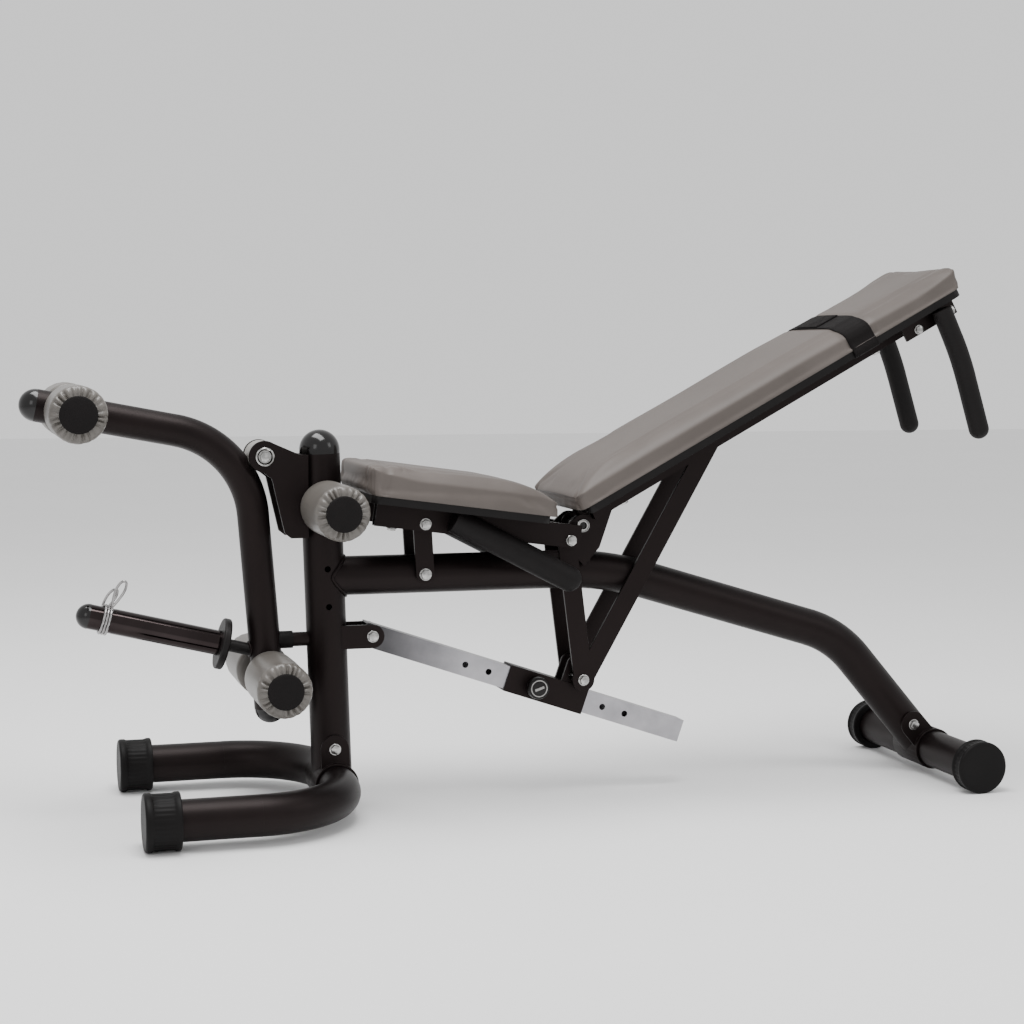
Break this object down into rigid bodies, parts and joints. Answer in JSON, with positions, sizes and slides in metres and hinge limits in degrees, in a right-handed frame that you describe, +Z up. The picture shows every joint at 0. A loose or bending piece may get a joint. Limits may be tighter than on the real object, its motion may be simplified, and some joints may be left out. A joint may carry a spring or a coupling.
{
  "type": "adjustable weight bench",
  "caption": "Adjustable weight bench with a hinged backrest and seat, pull-pin adjuster, U-shaped base and a leg developer arm with foam rollers and a weight peg.",
  "frame": {"origin": "on the floor under the middle of the whole bench", "axes": "+Z up; X along the bench, from the leg developer at -X to the head end at +X; Y across"},
  "size_m": [1.5988, 0.502, 0.8802],
  "materials": {
    "frame_paint": "satin, warm brown-black powder coat",
    "cap_rubber": "matt moulded rubber with ribs",
    "plug_plastic": "smooth moulded plastic",
    "fastener_zinc": "bright zinc plate",
    "axle_steel": "plain steel",
    "bar_zinc": "bright zinc plate",
    "peg_chrome": "polished chrome",
    "flange_iron": "satin black",
    "hub_grey": "grey paint",
    "vinyl": "taupe grey vinyl with a fine grain",
    "roller_vinyl": "grey vinyl gathered at the ends",
    "board": "black faced plywood",
    "webbing": "black woven strap",
    "grip_rubber": "satin moulded grip",
    "knob_plastic": "moulded plastic"
  },
  "bodies": {
    "base": {"base_tube": "frame_paint", "base_caps": "cap_rubber", "base_saddle": "frame_paint", "base_bolt": "fastener_zinc", "front_post": "frame_paint", "post_cap": "plug_plastic", "main_beam": "frame_paint", "pivot_ears": "frame_paint", "pivot_shaft": "fastener_zinc", "link_bolt": "fastener_zinc", "rear_saddle": "frame_paint", "rear_bolt": "fastener_zinc", "rear_foot": "frame_paint", "rear_caps": "cap_rubber", "adjuster_clevis": "frame_paint", "adjuster_bolt": "fastener_zinc", "arm_bracket": "frame_paint", "arm_bolt": "fastener_zinc", "arm_stop": "frame_paint", "stop_bumper": "cap_rubber", "hold_down_axle": "axle_steel"},
    "hold_left": {"hold_roller_left": "roller_vinyl", "hold_end_left": "plug_plastic"},
    "hold_right": {"hold_roller_right": "roller_vinyl", "hold_end_right": "plug_plastic"},
    "leg_arm": {"arm_tube": "frame_paint", "arm_caps": "plug_plastic", "arm_hub": "hub_grey", "upper_arm_axle": "axle_steel", "lower_arm_axle": "axle_steel", "weight_peg": "peg_chrome", "peg_cap": "plug_plastic", "peg_flange": "flange_iron"},
    "upper_left": {"upper_roller_left": "roller_vinyl", "upper_end_left": "plug_plastic"},
    "upper_right": {"upper_roller_right": "roller_vinyl", "upper_end_right": "plug_plastic"},
    "lower_left": {"lower_roller_left": "roller_vinyl", "lower_end_left": "plug_plastic"},
    "lower_right": {"lower_roller_right": "roller_vinyl", "lower_end_right": "plug_plastic"},
    "collar": {"spring_collar": "peg_chrome"},
    "backrest": {"truss_bars": "frame_paint", "truss_bolts": "fastener_zinc", "back_frame": "frame_paint", "back_board": "board", "back_pad": "vinyl", "back_pad_bolts": "fastener_zinc", "head_strap": "webbing", "handle_brackets": "frame_paint", "rear_handles": "grip_rubber"},
    "seat": {"seat_frame": "frame_paint", "seat_board": "board", "seat_pad": "vinyl", "seat_bolts": "fastener_zinc", "side_grips": "grip_rubber"},
    "link": {"seat_link": "frame_paint"},
    "adjuster": {"adjuster_bar": "bar_zinc"},
    "sleeve": {"adjuster_sleeve": "frame_paint"},
    "pin": {"pull_pin": "knob_plastic"}
  },
  "joints": [
    {"name": "back_tilt", "type": "hinge", "parent": "base", "child": "backrest", "pos_m": [0.099, 0, 0.454], "axis": [0, -1, 0], "range_deg": [-28.6, 28.9]},
    {"name": "seat_tilt", "type": "hinge", "parent": "backrest", "child": "seat", "pos_m": [0.071, 0, 0.432], "axis": [0, -1, 0], "range_deg": [-32.07, 31.74]},
    {"name": "link_swing", "type": "hinge", "parent": "base", "child": "link", "pos_m": [-0.169, 0, 0.381], "axis": [0, -1, 0], "range_deg": [-8.5, 8.41]},
    {"name": "adjuster_swing", "type": "hinge", "parent": "base", "child": "adjuster", "pos_m": [-0.253, 0, 0.281], "axis": [0, -1, 0], "range_deg": [-7.16, 7.23]},
    {"name": "sleeve_slide", "type": "slide", "parent": "adjuster", "child": "sleeve", "axis": [0.9455, 0, -0.3256], "range_m": [-0.1251, 0.1264]},
    {"name": "pin_pull", "type": "slide", "parent": "sleeve", "child": "pin", "axis": [0, -1, 0], "range_m": [0, 0.014], "stiffness_N_per_m": 600, "springref_m": -0.01},
    {"name": "arm_lift", "type": "hinge", "parent": "base", "child": "leg_arm", "pos_m": [-0.427, 0, 0.574], "axis": [0, 1, 0], "range_deg": [0, 100]},
    {"name": "collar_slide", "type": "slide", "parent": "leg_arm", "child": "collar", "axis": [-0.9707, 0, 0.2402], "range_m": [-0.16, 0.075]},
    {"name": "hold_left_spin", "type": "hinge", "parent": "base", "child": "hold_left", "pos_m": [-0.33, 0, 0.4926], "axis": [0, 1, 0], "continuous": true},
    {"name": "hold_right_spin", "type": "hinge", "parent": "base", "child": "hold_right", "pos_m": [-0.33, 0, 0.4926], "axis": [0, 1, 0], "continuous": true},
    {"name": "upper_left_spin", "type": "hinge", "parent": "leg_arm", "child": "upper_left", "pos_m": [-0.722, 0, 0.646], "axis": [0, 1, 0], "continuous": true},
    {"name": "upper_right_spin", "type": "hinge", "parent": "leg_arm", "child": "upper_right", "pos_m": [-0.722, 0, 0.646], "axis": [0, 1, 0], "continuous": true},
    {"name": "lower_left_spin", "type": "hinge", "parent": "leg_arm", "child": "lower_left", "pos_m": [-0.421, 0, 0.224], "axis": [0, 1, 0], "continuous": true},
    {"name": "lower_right_spin", "type": "hinge", "parent": "leg_arm", "child": "lower_right", "pos_m": [-0.421, 0, 0.224], "axis": [0, 1, 0], "continuous": true}
  ],
  "couplings": [
    {"joint": "seat_tilt", "follows": "back_tilt", "ratio": -1.109},
    {"joint": "link_swing", "follows": "back_tilt", "ratio": -0.2935},
    {"joint": "adjuster_swing", "follows": "back_tilt", "ratio": 0.2495},
    {"joint": "sleeve_slide", "follows": "back_tilt", "m_per_rad": 0.25023}
  ]
}
